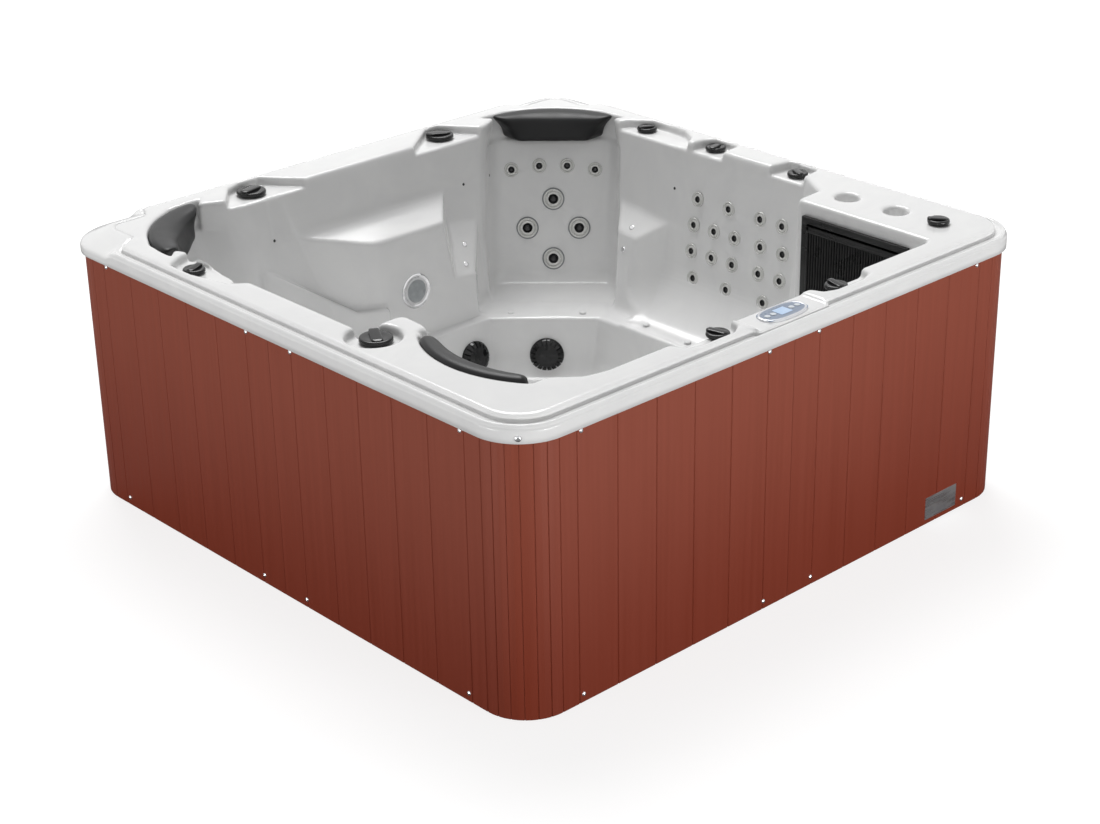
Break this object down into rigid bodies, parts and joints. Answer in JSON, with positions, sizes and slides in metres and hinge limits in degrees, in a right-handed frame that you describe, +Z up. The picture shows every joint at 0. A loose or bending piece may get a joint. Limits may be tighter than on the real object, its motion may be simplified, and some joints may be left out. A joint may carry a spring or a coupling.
{
  "type": "hot tub",
  "caption": "Square hot tub with a moulded acrylic shell, corner seats, lounger, jets, rotary knobs, headrests and a timber-look cabinet.",
  "frame": {"origin": "middle of the base, on the ground", "axes": "+Z up, -Y the side with the control panel, +X towards the filter side"},
  "size_m": [2.124, 2.124, 0.9254],
  "materials": {
    "acrylic": "vacuum-formed pearl-white acrylic, glossy, very faintly marbled",
    "cabinet": "red-brown timber-look boards with a fine upright grain, satin",
    "stainless": "brushed stainless steel",
    "tray": "black moulded tray, matt",
    "timber": "planed softwood, dry",
    "pillow": "dark grey moulded foam with a smooth satin skin",
    "black_gloss": "black moulded plastic, glossy",
    "grey_plastic": "grey moulded plastic",
    "chrome_trim": "polished trim rings",
    "panel_slate": "slate grey panel foil, satin",
    "display": "pale blue display window",
    "button": "pale grey key caps",
    "lens": "frosted grey lamp lens",
    "pale_plastic": "white moulded plastic",
    "black_matt": "black moulded plastic, satin",
    "pleats": "white pleated filter cloth",
    "motor_paint": "blue-grey enamel on a ribbed motor case"
  },
  "bodies": {
    "tub": {"acrylic_shell": "acrylic", "skirt_front": "cabinet", "skirt_right": "cabinet", "skirt_back": "cabinet", "skirt_left": "cabinet", "skirt_screws": "stainless", "rim_plug": "stainless", "rating_plate": "stainless", "base_pan": "tray", "bottom_frame": "timber", "frame_posts": "timber", "top_frame": "timber", "pillow_back": "pillow", "pillow_left": "pillow", "pillow_front": "pillow", "diverter_valves": "grey_plastic", "air_valves": "grey_plastic", "panel_bezel": "chrome_trim", "panel_face": "panel_slate", "panel_display": "display", "large_jet_bodies": "grey_plastic", "small_jets": "chrome_trim", "small_jet_bodies": "grey_plastic", "light_ring": "chrome_trim", "light_lens": "lens", "suction_covers": "black_gloss", "air_injectors": "pale_plastic", "filter_canister": "grey_plastic", "filter_cartridge": "pleats", "drain_fitting": "pale_plastic", "pump_housing": "black_matt", "pump_motor": "motor_paint", "heater_tube": "stainless", "air_blower": "black_matt", "control_box": "pale_plastic", "pipework": "pale_plastic"},
    "diverter_knob_a": {"diverter_knob_a": "black_gloss"},
    "diverter_knob_b": {"diverter_knob_b": "black_gloss"},
    "diverter_knob_c": {"diverter_knob_c": "black_gloss"},
    "air_knob_d": {"air_knob_d": "black_gloss"},
    "air_knob_e": {"air_knob_e": "black_gloss"},
    "air_knob_f": {"air_knob_f": "black_gloss"},
    "air_knob_g": {"air_knob_g": "black_gloss"},
    "air_knob_h": {"air_knob_h": "black_gloss"},
    "air_knob_i": {"air_knob_i": "black_gloss"},
    "air_knob_j": {"air_knob_j": "black_gloss"},
    "large_jet_1": {"large_jet_1": "chrome_trim"},
    "large_jet_2": {"large_jet_2": "chrome_trim"},
    "large_jet_3": {"large_jet_3": "chrome_trim"},
    "large_jet_4": {"large_jet_4": "chrome_trim"},
    "panel_button_1": {"panel_button_1": "button"},
    "panel_button_2": {"panel_button_2": "button"},
    "panel_button_3": {"panel_button_3": "button"},
    "panel_button_4": {"panel_button_4": "button"},
    "filter_grille": {"filter_grille": "black_matt"},
    "weir_flap": {"weir_flap": "grey_plastic"},
    "pump_rotor": {"pump_rotor": "stainless"}
  },
  "joints": [
    {"name": "turn_diverter_a", "type": "hinge", "parent": "tub", "child": "diverter_knob_a", "pos_m": [-0.412, 0.944, 0.864], "axis": [0, 0, 1], "range_deg": [0, 180]},
    {"name": "turn_diverter_b", "type": "hinge", "parent": "tub", "child": "diverter_knob_b", "pos_m": [0.404, 0.953, 0.864], "axis": [0, 0, 1], "range_deg": [0, 180]},
    {"name": "turn_diverter_c", "type": "hinge", "parent": "tub", "child": "diverter_knob_c", "pos_m": [-0.902, -0.308, 0.864], "axis": [0, 0, 1], "range_deg": [0, 180]},
    {"name": "turn_air_d", "type": "hinge", "parent": "tub", "child": "air_knob_d", "pos_m": [-0.953, 0.491, 0.864], "axis": [0, 0, 1], "range_deg": [0, 90]},
    {"name": "turn_air_e", "type": "hinge", "parent": "tub", "child": "air_knob_e", "pos_m": [0.966, 0.492, 0.864], "axis": [0, 0, 1], "range_deg": [0, 90]},
    {"name": "turn_air_f", "type": "hinge", "parent": "tub", "child": "air_knob_f", "pos_m": [0.976, 0.172, 0.864], "axis": [0, 0, 1], "range_deg": [0, 90]},
    {"name": "turn_air_g", "type": "hinge", "parent": "tub", "child": "air_knob_g", "pos_m": [0.966, -0.208, 0.864], "axis": [0, 0, 1], "range_deg": [0, 90]},
    {"name": "turn_air_h", "type": "hinge", "parent": "tub", "child": "air_knob_h", "pos_m": [0.866, -0.868, 0.894], "axis": [0, 0, 1], "range_deg": [0, 90]},
    {"name": "turn_air_i", "type": "hinge", "parent": "tub", "child": "air_knob_i", "pos_m": [-0.21, -0.951, 0.864], "axis": [0, 0, 1], "range_deg": [0, 90]},
    {"name": "turn_air_j", "type": "hinge", "parent": "tub", "child": "air_knob_j", "pos_m": [0.293, -0.948, 0.864], "axis": [0, 0, 1], "range_deg": [0, 90]},
    {"name": "spin_jet_1", "type": "hinge", "parent": "tub", "child": "large_jet_1", "pos_m": [0.77227, 0.77227, 0.59286], "axis": [-0.6725, -0.6725, 0.309], "continuous": true},
    {"name": "spin_jet_2", "type": "hinge", "parent": "tub", "child": "large_jet_2", "pos_m": [0.68383, 0.81535, 0.49416], "axis": [-0.6725, -0.6725, 0.309], "continuous": true},
    {"name": "spin_jet_3", "type": "hinge", "parent": "tub", "child": "large_jet_3", "pos_m": [0.81535, 0.68383, 0.49416], "axis": [-0.6725, -0.6725, 0.309], "continuous": true},
    {"name": "spin_jet_4", "type": "hinge", "parent": "tub", "child": "large_jet_4", "pos_m": [0.72566, 0.72566, 0.39], "axis": [-0.6725, -0.6725, 0.309], "continuous": true},
    {"name": "press_button_1", "type": "slide", "parent": "tub", "child": "panel_button_1", "axis": [0, 0, -1], "range_m": [0, 0.0012], "stiffness_N_per_m": 400, "springref_m": -0.0008},
    {"name": "press_button_2", "type": "slide", "parent": "tub", "child": "panel_button_2", "axis": [0, 0, -1], "range_m": [0, 0.0012], "stiffness_N_per_m": 400, "springref_m": -0.0008},
    {"name": "press_button_3", "type": "slide", "parent": "tub", "child": "panel_button_3", "axis": [0, 0, -1], "range_m": [0, 0.0012], "stiffness_N_per_m": 400, "springref_m": -0.0008},
    {"name": "press_button_4", "type": "slide", "parent": "tub", "child": "panel_button_4", "axis": [0, 0, -1], "range_m": [0, 0.0012], "stiffness_N_per_m": 400, "springref_m": -0.0008},
    {"name": "pull_grille", "type": "slide", "parent": "tub", "child": "filter_grille", "axis": [-1, 0, 0], "range_m": [0, 0.06]},
    {"name": "swing_flap", "type": "hinge", "parent": "tub", "child": "weir_flap", "pos_m": [0.759, -0.665, 0.64], "axis": [0, 1, 0], "range_deg": [0, 35]},
    {"name": "spin_pump", "type": "hinge", "parent": "tub", "child": "pump_rotor", "pos_m": [-0.33, -0.7, 0.118], "axis": [1, 0, 0], "continuous": true}
  ]
}
